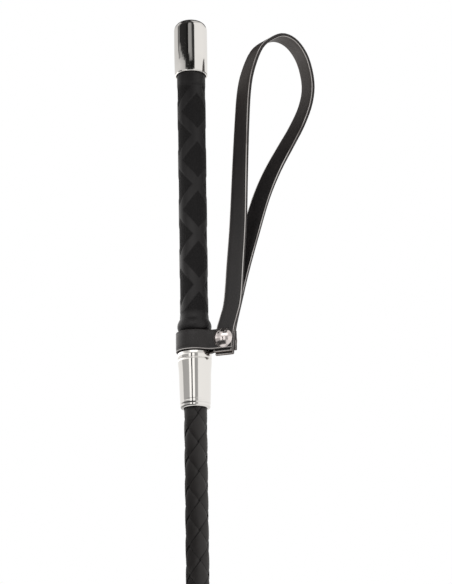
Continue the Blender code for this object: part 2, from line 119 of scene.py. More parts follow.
def selectWhere(test, kind="verts"):
    # by place or normal, in edit mode
    bpy.context.tool_settings.mesh_select_mode = (kind == "verts", kind == "edges", kind == "faces")
    data = bpy.context.edit_object.data
    shape = bmesh.from_edit_mesh(data)
    for group in (shape.faces, shape.edges, shape.verts):
        for part in group:
            part.select = False
    for part in getattr(shape, kind):
        if test(part):
            part.select_set(True)
    shape.select_flush_mode()
    bmesh.update_edit_mesh(data)


def renamePiece(name):
    piece = bpy.context.object
    piece.name = piece.data.name = name
    return piece


def keepPlace(piece):
    # the object goes back to the origin, its place stays in its mesh
    activate(piece)
    bpy.ops.object.transform_apply(location=True, rotation=True, scale=True)


def addModifier(piece, kind, settings):
    modifier = piece.modifiers.new(kind.title(), kind)
    for key, value in settings.items():
        setattr(modifier, key, value)
    activate(piece)
    bpy.ops.object.modifier_apply(modifier=modifier.name)


def smoothShade(piece, degrees=35):
    activate(piece)
    bpy.ops.object.shade_smooth_by_angle(angle=math.radians(degrees))


def closeOnAxis(rise):
    # a ring drawn in to one point
    bpy.ops.mesh.extrude_region_move(TRANSFORM_OT_translate={"value": (0, 0, rise * mm)})
    bpy.ops.mesh.merge(type="COLLAPSE")


def turnPiece(name, profile, sides=96):
    # drawn ring by ring as on a lathe: (radius, height) down one side and back up the other
    rings = [ring for ring in profile if ring[0] > 0]
    firstRadius, firstHeight = rings[0]
    bpy.ops.object.select_all(action="DESELECT")
    bpy.ops.mesh.primitive_circle_add(
        vertices=sides, radius=firstRadius * mm, location=(0, 0, firstHeight * mm))
    piece = renamePiece(name)
    keepPlace(piece)
    bpy.ops.object.mode_set(mode="EDIT")
    bpy.ops.mesh.select_all(action="SELECT")
    for (radius, height), (nextRadius, nextHeight) in zip(rings, rings[1:]):
        grow = nextRadius / radius
        rise = (nextHeight - height) * mm
        bpy.ops.mesh.extrude_region_move(TRANSFORM_OT_translate={"value": (0, 0, rise)})
        bpy.ops.transform.resize(value=(grow, grow, 1), center_override=(0, 0, 0))
    if profile[-1][0] == 0:
        closeOnAxis(profile[-1][1] - rings[-1][1])
    if profile[0][0] == 0:
        selectWhere(lambda v: v.is_boundary)
        closeOnAxis(profile[0][1] - firstHeight)
    bpy.ops.mesh.select_all(action="SELECT")
    bpy.ops.mesh.remove_doubles(threshold=0.000002)
    bpy.ops.mesh.normals_make_consistent(inside=False)
    endEdit()
    smoothShade(piece)
    return piece


def turnOutward(piece):
    # face normals point out of the solid
    startEdit(piece)
    bpy.ops.mesh.select_all(action="SELECT")
    bpy.ops.mesh.normals_make_consistent(inside=False)
    endEdit()


def arcRings(centre, radius, start, end, steps):
    # points on a circle in the profile, angles in degrees
    angles = [math.radians(start + (end - start) * i / steps) for i in range(steps + 1)]
    return [(centre[0] + radius * math.cos(a), centre[1] + radius * math.sin(a)) for a in angles]


def clampShare(value):
    return min(max(value, 0.0), 1.0)


def softStep(share):
    return share * share * (3 - 2 * share)


def smoothRoute(points, steps):
    # an even curve through given points
    ends = [points[0], *points, points[-1]]
    route = []
    for before, start, end, after in zip(ends, ends[1:], ends[2:], ends[3:]):
        a, b, c, d = (Vector(point) for point in (before, start, end, after))
        for i in range(steps):
            t = i / steps
            bend = (c - a) * t + (2 * a - 5 * b + 4 * c - d) * t * t
            route.append(b + (bend + (3 * b - 3 * c + d - a) * t ** 3) / 2)
    return [*route, Vector(points[-1])]


def giveMaterials(piece, *materials):
    for material in materials:
        piece.data.materials.append(material)


def finishPiece(piece, body, slotName, nodes, *materials):
    giveMaterials(piece, *materials)
    if body:
        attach(piece, body)
    if nodes:
        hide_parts(*nodes)


def chromePlate():
    # Chrome plate on turned and pressed brass: polished before plating, so it mirrors sharply,
    # with the faint ripple that polishing leaves and small duller patches from handling.
    return platedMetal("chromePlate", "#eae8e5", 0.035, 0.11, 0.14)


def tumbledNickel():
    # Nickel plate on a pressed steel rivet: tumbled, not polished, so it blurs what it mirrors.
    return platedMetal("tumbledNickel", "#e9e1df", 0.13, 0.19, 0.03)


def platedMetal(name, colour, smooth, wearAndHighlight, rippled):
    material, tree, shader = newMaterial(name, {
        "Base Color": toLinear(colour), "Metallic": 1.0, "Roughness": smooth})
    place = addNode(tree, "TexCoord", {})
    ripple = addNode(tree, "TexNoise", {"Vector": (place, "Object"), "Scale": 170.0, "Detail": 2.0})
    wipe = addNode(tree, "TexNoise", {"Vector": (place, "Object"), "Scale": 900.0, "Detail": 3.0})
    rough = addNode(tree, "MapRange", {
        "Value": (wipe, "Fac"), "From Min": 0.4, "From Max": 0.75, "To Min": smooth, "To Max": wearAndHighlight})
    bump = addNode(tree, "Bump", {"Height": (ripple, "Fac"), "Strength": rippled, "Distance": 0.0002})
    connect(tree, rough, "Result", shader, "Roughness")
    connect(tree, bump, "Normal", shader, "Normal")
    return material


def bridleLeather():
    # Black bridle leather: drum-dyed cowhide, stuffed with wax and plated smooth. The eye gets a
    # soft broad sheen, pores about 0.6 mm apart and slow patches where the wax lies thicker. From 20
    # to 90 mm up, in the upper part of the loop, a painted sheen makes it paler and browner.
    material, tree, shader = newMaterial("bridleLeather", {
        "Base Color": toLinear("#171414"), "Roughness": 0.42, "IOR": 1.5})
    place = addNode(tree, "TexCoord", {})
    patch = addNode(tree, "TexNoise", {"Vector": (place, "Object"), "Scale": 70.0, "Detail": 4.0})
    colour = addNode(tree, "ValToRGB", {
        "Fac": (patch, "Fac"), "stops": [(0.3, "#120f10"), (0.7, "#1d1919")]})
    axes = addNode(tree, "SeparateXYZ", {"Vector": (place, "Object")})
    # painted sheen: from 20 to 90 mm up the colour is mixed towards a paler brown, the light the upper loop
    # catches
    paintedUpperSheen = addNode(tree, "MapRange", {"Value": (axes, "Z"), "From Min": 0.02, "From Max": 0.09})
    colour = addNode(tree, "MixRGB", {
        "Fac": (paintedUpperSheen, "Result"), "Color1": (colour, "Color"), "Color2": toLinear("#37302d")})
    rough = addNode(tree, "MapRange", {"Value": (patch, "Fac"), "To Min": 0.34, "To Max": 0.52})
    pores = addNode(tree, "TexVoronoi", {"Vector": (place, "Object"), "Scale": 1600.0})
    fibre = addNode(tree, "TexNoise", {"Vector": (place, "Object"), "Scale": 2400.0, "Detail": 2.0})
    poreBump = addNode(tree, "Bump", {"Height": (pores, "Distance"), "Strength": 0.16, "Distance": 0.00012})
    bump = addNode(tree, "Bump", {
        "Height": (fibre, "Fac"), "Strength": 0.10, "Distance": 0.0001, "Normal": (poreBump, "Normal")})
    connect(tree, colour, "Color", shader, "Base Color")
    connect(tree, rough, "Result", shader, "Roughness")
    connect(tree, bump, "Normal", shader, "Normal")
    return material


def leatherEdge():
    # The cut edge of the same hide, dyed and rubbed with gum: close-set fibres, less sheen.
    material, tree, shader = newMaterial("leatherEdge", {
        "Base Color": toLinear("#1c1716"), "Roughness": 0.6, "IOR": 1.5})
    place = addNode(tree, "TexCoord", {})
    fibre = addNode(tree, "TexNoise", {"Vector": (place, "Object"), "Scale": 1500.0, "Detail": 4.0})
    colour = addNode(tree, "ValToRGB", {
        "Fac": (fibre, "Fac"), "stops": [(0.35, "#151112"), (0.7, "#2a2321")]})
    bump = addNode(tree, "Bump", {"Height": (fibre, "Fac"), "Strength": 0.35, "Distance": 0.0002})
    connect(tree, colour, "Color", shader, "Base Color")
    connect(tree, bump, "Normal", shader, "Normal")
    return material


def rubbedCorner():
    # Where face and cut edge meet, the corner is bevelled and burnished with a hot iron: hard, shiny.
    # Its pale grey is a painted highlight, the light along the corner, patchy where the dye rubbed thin.
    material, tree, shader = newMaterial("rubbedCorner", {
        "Base Color": toLinear("#6f6a68"), "Roughness": 0.34, "IOR": 1.5})
    place = addNode(tree, "TexCoord", {})
    wearAndHighlight = addNode(tree, "TexNoise", {"Vector": (place, "Object"), "Scale": 45.0, "Detail": 3.0})
    # painted highlight: every stop is pale, the noise only makes it patchy, as where the dye rubbed thin
    colour = addNode(tree, "ValToRGB", {
        "Fac": (wearAndHighlight, "Fac"), "stops": [(0.34, "#7d7674"), (0.48, "#b5b0ad"), (0.62, "#c9c5c2")]})
    fibre = addNode(tree, "TexNoise", {"Vector": (place, "Object"), "Scale": 1800.0, "Detail": 2.0})
    bump = addNode(tree, "Bump", {"Height": (fibre, "Fac"), "Strength": 0.2, "Distance": 0.0001})
    connect(tree, colour, "Color", shader, "Base Color")
    connect(tree, bump, "Normal", shader, "Normal")
    return material


def rawLeatherEnd():
    # A strap end cut after dyeing: the dye hasn't reached the middle, so it shows brown.
    material, tree, shader = newMaterial("rawLeatherEnd", {
        "Base Color": toLinear("#4a3a33"), "Roughness": 0.7, "IOR": 1.5})
    place = addNode(tree, "TexCoord", {})
    fibre = addNode(tree, "TexNoise", {"Vector": (place, "Object"), "Scale": 1200.0, "Detail": 4.0})
    colour = addNode(tree, "ValToRGB", {
        "Fac": (fibre, "Fac"), "stops": [(0.3, "#2a211f"), (0.7, "#57453c")]})
    bump = addNode(tree, "Bump", {"Height": (fibre, "Fac"), "Strength": 0.4, "Distance": 0.0002})
    connect(tree, colour, "Color", shader, "Base Color")
    connect(tree, bump, "Normal", shader, "Normal")
    return material


def mouldedRubber():
    # Thermoplastic rubber moulded on the core: the bands come smooth from the mould, and the
    # sunk diamonds are stippled with dots about 0.9 mm apart and quite matt; their darker colour is painted
    # shade.
    material, tree, shader = newMaterial("mouldedRubber", {
        "Base Color": toLinear("#181718"), "Roughness": 0.6, "IOR": 1.45, "Specular IOR Level": 0.42})
    place = addNode(tree, "TexCoord", {})
    band = addNode(tree, "Attribute", {"attribute_name": "band"})
    # painted shade: the sunk diamonds take a darker colour than the bands
    colour = addNode(tree, "ValToRGB", {
        "Fac": (band, "Fac"), "stops": [(0.15, "#0e0c0d"), (0.85, "#191718")]})
    rough = addNode(tree, "MapRange", {"Value": (band, "Fac"), "To Min": 0.80, "To Max": 0.46})
    dots = addNode(tree, "TexVoronoi", {"Vector": (place, "Object"), "Scale": 1100.0, "Randomness": 0.35})
    depth = addNode(tree, "MapRange", {"Value": (band, "Fac"), "To Min": 0.85, "To Max": 0.06})
    bump = addNode(tree, "Bump", {
        "Height": (dots, "Distance"), "Strength": (depth, "Result"), "Distance": 0.0003})
    connect(tree, colour, "Color", shader, "Base Color")
    connect(tree, rough, "Result", shader, "Roughness")
    connect(tree, bump, "Normal", shader, "Normal")
    return material


def plaitedStrand(name, grooveShadeWidth):
    # Flat strands of split leather, dyed through and rolled with wax after plaiting: fine
    # lengthwise grain and a dull shine on each crown. Down its two edges, each about grooveShadeWidth
    # of the strand's width, painted shade turns it near black: the shadow in the grooves between strands.
    material, tree, shader = newMaterial(name, {
        "Base Color": toLinear("#171516"), "Roughness": 0.48, "IOR": 1.5})
    place = addNode(tree, "UVMap", {"uv_map": "UVMap"})
    along = addNode(tree, "Mapping", {"Vector": (place, "UV"), "Scale": (34.0, 420.0, 1.0)})
    grain = addNode(tree, "TexNoise", {"Vector": (along, "Vector"), "Scale": 1.0, "Detail": 4.0})
    colour = addNode(tree, "ValToRGB", {
        "Fac": (grain, "Fac"), "stops": [(0.3, "#0e0c0c"), (0.7, "#211c1b")]})
    rough = addNode(tree, "MapRange", {"Value": (grain, "Fac"), "To Min": 0.38, "To Max": 0.6})
    axes = addNode(tree, "SeparateXYZ", {"Vector": (place, "UV")})
    fromMiddle = addNode(tree, "Math", {"operation": "SUBTRACT", 0: (axes, "Y"), 1: 0.5})
    outward = addNode(tree, "Math", {"operation": "ABSOLUTE", 0: (fromMiddle, "Value")})
    groove = addNode(tree, "MapRange", {
        "Value": (outward, "Value"),
        "From Min": 0.5 - grooveShadeWidth * 1.6, "From Max": 0.5 - grooveShadeWidth * 0.6})
    # painted shade: near black down the strand's edges, where the grooves between strands lie in shadow
    colour = addNode(tree, "MixRGB", {
        "Fac": (groove, "Result"), "Color1": (colour, "Color"), "Color2": toLinear("#040303")})
    rough = addNode(tree, "MapRange", {
        "Value": (groove, "Result"), "To Min": (rough, "Result"), "To Max": 1.0})
    bump = addNode(tree, "Bump", {"Height": (grain, "Fac"), "Strength": 0.25, "Distance": 0.0002})
    connect(tree, colour, "Color", shader, "Base Color")
    connect(tree, rough, "Result", shader, "Roughness")
    connect(tree, bump, "Normal", shader, "Normal")
    return material


def waxedThread():
    # Waxed linen thread, charcoal grey: three plies twisted together, drawn 0.35 mm a turn, with a
    # dull wax shine.
    material, tree, shader = newMaterial("waxedThread", {
        "Base Color": toLinear("#45403f"), "Roughness": 0.55, "IOR": 1.5, "Sheen Weight": 0.15})
    place = addNode(tree, "TexCoord", {})
    slant = addNode(tree, "Mapping", {"Vector": (place, "Object"), "Rotation": (0.6, 0.5, 0.4)})
    plies = addNode(tree, "TexWave", {"Vector": (slant, "Vector"), "Scale": 900.0, "Distortion": 1.5})
    # painted shade: the colour is darker in the hollows between the twisted plies
    colour = addNode(tree, "ValToRGB", {
        "Fac": (plies, "Fac"), "stops": [(0.2, "#2a2728"), (0.8, "#615b5a")]})
    bump = addNode(tree, "Bump", {"Height": (plies, "Fac"), "Strength": 0.5, "Distance": 0.0002})
    connect(tree, colour, "Color", shader, "Base Color")
    connect(tree, bump, "Normal", shader, "Normal")
    return material


def glassRod():
    # Pultruded glass-fibre rod: straw-coloured resin with glass strands drawn out lengthwise.
    material, tree, shader = newMaterial("glassRod", {
        "Base Color": toLinear("#b9ad86"), "Roughness": 0.35, "IOR": 1.52})
    place = addNode(tree, "TexCoord", {})
    drawn = addNode(tree, "Mapping", {"Vector": (place, "Object"), "Scale": (2600.0, 2600.0, 30.0)})
    strands = addNode(tree, "TexNoise", {"Vector": (drawn, "Vector"), "Scale": 1.0, "Detail": 3.0})
    colour = addNode(tree, "ValToRGB", {
        "Fac": (strands, "Fac"), "stops": [(0.3, "#a3966d"), (0.7, "#cfc5a3")]})
    rough = addNode(tree, "MapRange", {"Value": (strands, "Fac"), "To Min": 0.28, "To Max": 0.45})
    connect(tree, colour, "Color", shader, "Base Color")
    connect(tree, rough, "Result", shader, "Roughness")
    return material


def turnedBeech():
    # Turned beech: pale, close-grained, with short darker rays along the grain and no finish.
    material, tree, shader = newMaterial("turnedBeech", {
        "Base Color": toLinear("#b98a5e"), "Roughness": 0.62, "IOR": 1.45})
    place = addNode(tree, "TexCoord", {})
    drawn = addNode(tree, "Mapping", {"Vector": (place, "Object"), "Scale": (700.0, 700.0, 60.0)})
    rays = addNode(tree, "TexNoise", {"Vector": (drawn, "Vector"), "Scale": 1.0, "Detail": 5.0})
    colour = addNode(tree, "ValToRGB", {
        "Fac": (rays, "Fac"), "stops": [(0.3, "#94683f"), (0.7, "#c79d72")]})
    bump = addNode(tree, "Bump", {"Height": (rays, "Fac"), "Strength": 0.2, "Distance": 0.0002})
    connect(tree, colour, "Color", shader, "Base Color")
    connect(tree, bump, "Normal", shader, "Normal")
    return material


def mouldedNylon():
    # Injection-moulded black nylon: fine spark texture and a low even gloss.
    material, tree, shader = newMaterial("mouldedNylon", {
        "Base Color": toLinear("#1a1a1b"), "Roughness": 0.5, "IOR": 1.53})
    place = addNode(tree, "TexCoord", {})
    spark = addNode(tree, "TexNoise", {"Vector": (place, "Object"), "Scale": 2200.0, "Detail": 2.0})
    rough = addNode(tree, "MapRange", {"Value": (spark, "Fac"), "To Min": 0.42, "To Max": 0.6})
    bump = addNode(tree, "Bump", {"Height": (spark, "Fac"), "Strength": 0.2, "Distance": 0.0001})
    connect(tree, rough, "Result", shader, "Roughness")
    connect(tree, bump, "Normal", shader, "Normal")
    return material


chrome = chromePlate()
nickel = tumbledNickel()
leather = bridleLeather()
edgeLeather = leatherEdge()
corner = rubbedCorner()
rawEnd = rawLeatherEnd()
rubber = mouldedRubber()
strandLeather = {1: plaitedStrand("strandOver", 0.035), -1: plaitedStrand("strandUnder", 0.012)}
thread = waxedThread()
print("materials made")


# where things are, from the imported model, in mm
joints = {joint["name"]: joint for joint in frame["joints"]}
capLow, capHigh = heightsOf("end_cap")
gripLow, gripHigh = heightsOf("grip_sleeve")
ferruleLow, ferruleHigh = heightsOf("ferrule")
plaitLow, plaitHigh = heightsOf("plaited_cover")
collarLow, collarHigh = heightsOf("collar_strap")
collarMiddle = (collarLow + collarHigh) / 2
hingeHeight = Vector(joints["flap_bend"]["pos_m"]).z / mm
rivetPlace = Vector(joints["loop_pivot"]["pos_m"]) / mm
tabTurn = math.atan2(rivetPlace.y, rivetPlace.x)
rivetReach = rivetPlace.xy.length


# chrome end cap, drawn from sheet brass
cap = {"radius": 9.5, "rimRadius": 9.35, "shoulder": 5.0, "wall": 0.8, "crown": 0.5, "lipRadius": 8.4}


def buildCap():
    r, wall, top, rim = cap["radius"], cap["wall"], capHigh, capLow
    bend = (r - cap["shoulder"], top - cap["crown"] - cap["shoulder"])
    outer = arcRings(bend, cap["shoulder"], 84, 0, 14)
    inner = arcRings(bend, cap["shoulder"] - wall, 0, 85, 8)
    lip = [(cap["rimRadius"] + 0.02, rim + 1.0), (cap["rimRadius"], rim + 0.45)]
    lip += arcRings((cap["rimRadius"] - 0.45, rim + 0.45), 0.45, -20, -90, 5)
    lip += [(cap["lipRadius"] + 0.25, rim), (cap["lipRadius"], rim + 0.2), (cap["lipRadius"], rim + 0.9)]
    profile = [(0, top - 0.05), (1.6, top - 0.1), (3.2, top - 0.26), *outer, (r, rim + 14.0), *lip,
               (cap["rimRadius"] - wall, rim + 1.6), *inner, (0, top - cap["crown"] - wall)]
    piece = turnPiece("capShell", profile, 128)
    finishPiece(piece, "crop", "chrome", ["end_cap"], chrome)


buildCap()
print("end cap made")


# moulded grip sleeve: raised bands cross and leave sunk, stippled diamonds
grip = {
    "topRadius": 8.1, "endRadius": 7.85, "boreRadius": 6.8, "boreLimit": 7.2, "flangeRadius": 9.45,
    "pitch": 58.7, "starts": 2, "bandWidth": 5.0, "edge": 0.9, "raise": 0.22,
    "cornerHeight": 48.3, "cornerTurn": -66.0, "plainTop": 6.0, "cuts": 96, "sides": 176,
}


def bandShare(x, y, z):
    # 1 on a band, 0 in a diamond, with the soft edge that a mould gives
    turn = math.degrees(math.atan2(x, -y))
    slope = grip["pitch"] / 360
    spacing = grip["pitch"] / grip["starts"]
    lean = math.cos(math.atan(grip["pitch"] / (2 * math.pi * grip["topRadius"])))
    share = 0.0
    for side in (-1, 1):
        off = (z - grip["cornerHeight"] - side * slope * (turn - grip["cornerTurn"])) / spacing
        off = abs(off - round(off)) * spacing * lean
        share = max(share, clampShare((grip["bandWidth"] / 2 - off) / grip["edge"] + 0.5))
    return softStep(share)


def buildGrip():
    # the flange starts as far below the origin as the cap's rim lies above it
    rim = capLow
    flange = -rim
    top, end = grip["topRadius"] - grip["raise"], grip["endRadius"] - grip["raise"]
    wide = grip["flangeRadius"]
    spans = [(top + (end - top) * i / 4, rim - 1.0 - i * (2 * rim - 3.5) / 4) for i in range(5)]
    profile = [
        (grip["boreRadius"], gripHigh), (top, gripHigh), *spans,
        (end + 0.05, flange + 1.6), (end + 0.12, flange + 0.7), (end + 0.35, flange - 0.4),
        (end + 0.75, flange - 1.4), (end + 1.25, flange - 2.3), (wide - 0.2, flange - 3.3),
        (wide - 0.03, flange - 4.1), (wide, flange - 4.8), (wide - 0.06, flange - 5.5),
        (wide - 0.25, flange - 6.2), (wide - 0.55, flange - 6.9), (wide - 1.0, flange - 7.5),
        (wide - 1.6, gripLow), (grip["boreRadius"], gripLow), (grip["boreRadius"], gripHigh),
    ]
    piece = turnPiece("gripSleeve", profile, grip["sides"])
    startEdit(piece)
    upper, lower = (rim - 0.5) * mm, (flange + 2.0) * mm

    def isLongEdge(edge):
        a, b = (v.co for v in edge.verts)
        tall = 20 * mm < abs(a.z - b.z) < 60 * mm
        outside = min(a.xy.length, b.xy.length) > grip["boreLimit"] * mm
        return tall and outside and lower < (a.z + b.z) / 2 < upper

    selectWhere(isLongEdge, "edges")
    bpy.ops.mesh.subdivide(number_cuts=grip["cuts"])
    endEdit()
    group = piece.vertex_groups.new(name="bands")
    shares = []
    for vert in piece.data.vertices:
        x, y, z = vert.co / mm
        inside = vert.co.xy.length < grip["boreLimit"] * mm
        # the bands run out into a plain band at each end
        aboveFlange = clampShare((z - flange - 1.0) / 3.0)
        belowCap = clampShare((rim - grip["plainTop"] - z) / 3.0)
        fade = aboveFlange * belowCap
        share = 0.0 if inside else bandShare(x, y, z) * fade
        shares.append(max(share, 1.0 - fade) if not inside and z < rim else share)
        if shares[-1] > 0 and not inside:
            group.add([vert.index], shares[-1] if z > flange + 0.5 else 0.0, "REPLACE")
    band = piece.data.attributes.new("band", "FLOAT", "POINT")
    band.data.foreach_set("value", shares)
    addModifier(piece, "DISPLACE", {
        "strength": grip["raise"] * mm, "mid_level": 0.0, "vertex_group": "bands", "direction": "NORMAL"})
    smoothShade(piece, 50)
    finishPiece(piece, "crop", "moulded_grip", ["grip_sleeve"], rubber)


buildGrip()
print("grip sleeve made")


# chrome ferrule: straight band, rolled groove, slow taper, two shallow grooves, rolled lower rim
ferrule = {"topRadius": 9.3, "endRadius": 8.4, "bore": 7.6, "neckBore": 4.9, "mouth": 6.4, "groove": 0.2,
           "short": 0.45}


def buildFerrule():
    top, end = ferruleHigh, ferruleLow + ferrule["short"]
    wide, slim, groove = ferrule["topRadius"], ferrule["endRadius"], ferrule["groove"]
    mid = top - 3.9
    profile = [
        (ferrule["neckBore"], top - 1.5), (ferrule["neckBore"], top), (wide - 0.45, top),
        (wide - 0.15, top - 0.12), (wide, top - 0.45), (wide, mid + 0.3), (wide - 0.05, mid + 0.18),
        (wide - groove, mid + 0.08), (wide - groove, mid - 0.08), (wide - 0.06, mid - 0.2),
        (wide - 0.02, mid - 0.5), (wide - 0.04, mid - 1.8), (wide - 0.32, mid - 5.0),
        (wide - 0.55, mid - 8.5), (slim + 0.28, mid - 13.0), (slim + 0.12, mid - 19.0),
        (slim, end + 4.9), (slim - 0.03, end + 4.6), (slim - 0.1, end + 4.15), (slim - 0.11, end + 3.9),
        (slim - 0.08, end + 3.6), (slim - 0.03, end + 3.3), (slim - 0.02, end + 2.9),
        (slim - 0.07, end + 2.5), (slim - 0.22, end + 2.1), (slim - 0.26, end + 1.8),
        (slim - 0.2, end + 1.45), (slim - 0.18, end + 1.0), (slim - 0.3, end + 0.55),
        (slim - 0.55, end + 0.17), (slim - 0.9, end), (ferrule["mouth"] + 0.2, end),
        (ferrule["mouth"], end + 0.3), (ferrule["mouth"], end + 3.5), (ferrule["bore"], end + 6.0),
        (ferrule["bore"], top - 1.5), (ferrule["neckBore"], top - 1.5),
    ]
    piece = turnPiece("ferruleShell", profile, 128)
    finishPiece(piece, "crop", "chrome", ["ferrule"], chrome)


buildFerrule()
print("ferrule made")


def drawStrip(name, offsets, stations, upright, *materials):
    # one row of points is drawn out station by station: (x, y, z, turn), mm and radians
    bpy.ops.object.select_all(action="DESELECT")
    bpy.ops.mesh.primitive_grid_add(x_subdivisions=len(offsets) - 1, y_subdivisions=1, size=1)
    piece = renamePiece(name)
    giveMaterials(piece, *materials)
    bpy.ops.object.mode_set(mode="EDIT")
    selectWhere(lambda v: v.co.y > 0)
    bpy.ops.mesh.delete(type="VERT")
    endEdit()
    row = sorted(piece.data.vertices, key=lambda v: v.co.x)
    x, y, z, turn = stations[0]
    crease = piece.vertex_groups.new(name="crease")
    for vert, offset in zip(row, offsets):
        turned = Matrix.Rotation(turn, 3, "Z") @ Vector((offset, 0, 0))
        across = Vector((0, 0, offset)) if upright else turned
        vert.co = (Vector((x, y, z)) + across) * mm
        if abs(abs(offset) - (max(offsets) - creaseInset)) < 0.01:
            crease.add([vert.index], 1.0, "REPLACE")
    startEdit(piece)
    bpy.ops.mesh.select_all(action="SELECT")
    for before, after in zip(stations, stations[1:]):
        step = [(b - a) * mm for a, b in zip(before[:3], after[:3])]
        bpy.ops.mesh.extrude_region_move(TRANSFORM_OT_translate={"value": step})
        if abs(after[3] - before[3]) > 1e-6:
            turnSelected(after[3] - before[3], after[:3])
    endEdit()
    return piece


def turnSelected(angle, centre):
    # without a window, rotate turns the other way
    bpy.ops.transform.rotate(
        value=-angle, orient_axis="Z", center_override=[c * mm for c in centre])


def keepFaceSide(piece):
    # of a rounded corner's two rows, the one beside the face keeps the painted highlight and the other is
    # edge
    beside = {}
    for face in piece.data.polygons:
        for key in face.edge_keys:
            beside.setdefault(key, []).append(face)
    dyed = [face for face in piece.data.polygons if face.material_index == 2 and any(
        other.material_index == 1 for key in face.edge_keys for other in beside[key])]
    for face in dyed:
        face.material_index = 1


def roundCorners(piece, width):
    # the bevel's faces take material 2, the painted highlight along the corners
    addModifier(piece, "BEVEL", {
        "width": width * mm, "segments": 2, "limit_method": "ANGLE", "angle_limit": math.radians(50),
        "material": 2})
    keepFaceSide(piece)


def finishStrip(piece, thickness, cornerWidth, creaseDepth):
    addModifier(piece, "SOLIDIFY", {
        "thickness": thickness * mm, "offset": 0.0, "use_even_offset": True, "material_offset_rim": 1})
    roundCorners(piece, cornerWidth)
    addModifier(piece, "DISPLACE", {
        "strength": -creaseDepth * mm, "mid_level": 0.0, "vertex_group": "crease", "direction": "NORMAL"})
    turnOutward(piece)
    smoothShade(piece, 50)


def acrossOffsets(width):
    edge = width / 2
    near = edge - creaseInset
    inner = [-near * 0.55, 0.0, near * 0.55]
    return [-edge, -near - 0.35, -near, -near + 0.4, *inner, near - 0.4, near, near + 0.35, edge]


def onTab(out, back, up):
    # from the rivet's place in the tab's own directions to the model's
    x, y = rivetReach + out, back
    return (x * math.cos(tabTurn) - y * math.sin(tabTurn),
            x * math.sin(tabTurn) + y * math.cos(tabTurn), collarMiddle + up)


creaseInset = 1.15
collar = {
    "thickness": 1.9, "width": 11.0, "neckRadius": 9.35, "offset": 3.4, "inward": 9.0, "tabEnd": 23.3,
    "bevel": 0.5, "crease": 0.1,
}


def buildCollar():
    around, inward, offset = collar["neckRadius"], collar["inward"], collar["offset"]
    reach = math.sqrt((around + inward) ** 2 - (offset + inward) ** 2)
    lean = math.degrees(math.atan2(offset + inward, reach))
    front = [(collar["tabEnd"], -offset), (collar["tabEnd"] - 2.5, -offset), (rivetReach, -offset)]
    front += arcRings((reach, -offset - inward), inward, 90, 180 - lean, 10)
    back = [(u, -v) for u, v in reversed(front)]
    line = front + arcRings((0, 0), around, -lean, lean - 360, 72)[1:-1] + back
    stations = [(*onTab(u - rivetReach, v, 0), 0.0) for u, v in line]
    piece = drawStrip(
        "collarLeather", acrossOffsets(collar["width"]), stations, True, leather, edgeLeather, corner)
    finishStrip(piece, collar["thickness"], collar["bevel"], collar["crease"])
    # only its lower corners keep the painted highlight, where the light catches them; the upper ones have
    # the edge's dye
    for face in piece.data.polygons:
        if face.material_index == 2 and face.center.z / mm > collarMiddle:
            face.material_index = 1
    finishPiece(piece, "collar", "leather", ["collar_strap"])


strap = {
    "width": 10.6, "thickness": 2.0, "bevel": 0.6, "crease": 0.08, "steps": 4,
    # front edge of the strap from the front tail up, over and down:
    # out, back, up in mm and the turn of its width in degrees
    "route": [
        (3.85, -1.15, -7.0, 0), (4.85, -1.15, 0.0, 0), (5.9, -1.15, 6.5, 0), (7.8, -0.9, 13.0, 1),
        (10.0, -0.6, 22.0, 2), (11.9, -0.5, 44.0, 5), (13.8, -0.8, 67.0, 9.5), (15.0, -1.0, 95.0, 17),
        (16.1, -0.7, 122.0, 23.5), (17.5, -0.2, 144.0, 26.5), (19.5, 1.8, 158.0, 29),
        (23.1, 6.6, 172.0, 32), (28.0, 13.0, 179.7, 34), (32.8, 19.8, 183.4, 36),
        (37.9, 27.0, 181.2, 37), (41.8, 33.6, 173.0, 37), (43.6, 37.0, 159.3, 35),
        (42.6, 36.0, 146.0, 27), (38.8, 32.2, 131.5, 16), (34.0, 28.0, 119.0, 8),
        (27.2, 22.2, 102.0, 1), (21.6, 17.0, 84.0, -3), (16.2, 11.8, 60.5, -3),
        (11.6, 7.2, 39.0, -1), (8.1, 3.6, 20.0, 0), (6.1, 1.4, 8.5, 0), (4.85, 1.15, 0.0, 0),
        (4.05, 1.15, -8.2, 0),
    ],
}


def buildStrap():
    stations = []
    for out, back, up, degrees in smoothRoute(strap["route"], strap["steps"]):
        turn = math.radians(degrees)
        half = strap["width"] / 2
        middle = onTab(out - half * math.cos(turn), back + half * math.sin(turn), up)
        stations.append((*middle, tabTurn - turn))
    piece = drawStrip(
        "wristStrap", acrossOffsets(strap["width"]), stations, False, leather, edgeLeather, corner, rawEnd)
    finishStrip(piece, strap["thickness"], strap["bevel"], strap["crease"])
    finishPiece(piece, "loop", "leather", ["wrist_loop"])
    # the two cut ends under the collar face down
    for face in piece.data.polygons:
        if face.center.z / mm < collarMiddle - 6.0 and face.normal.z < -0.8:
            face.material_index = 3


buildCollar()
buildStrap()
print("collar and wrist strap made")


# rivet through the tab, its head in front and a washer behind
rivet = {"headRadius": 5.45, "headHeight": 2.6, "postRadius": 1.6, "face": 4.65, "washer": 0.8}


def placeOnTab(piece):
    piece.rotation_euler = (math.pi / 2, 0, tabTurn)
    piece.location = Vector(onTab(0, 0, 0)) * mm
    keepPlace(piece)


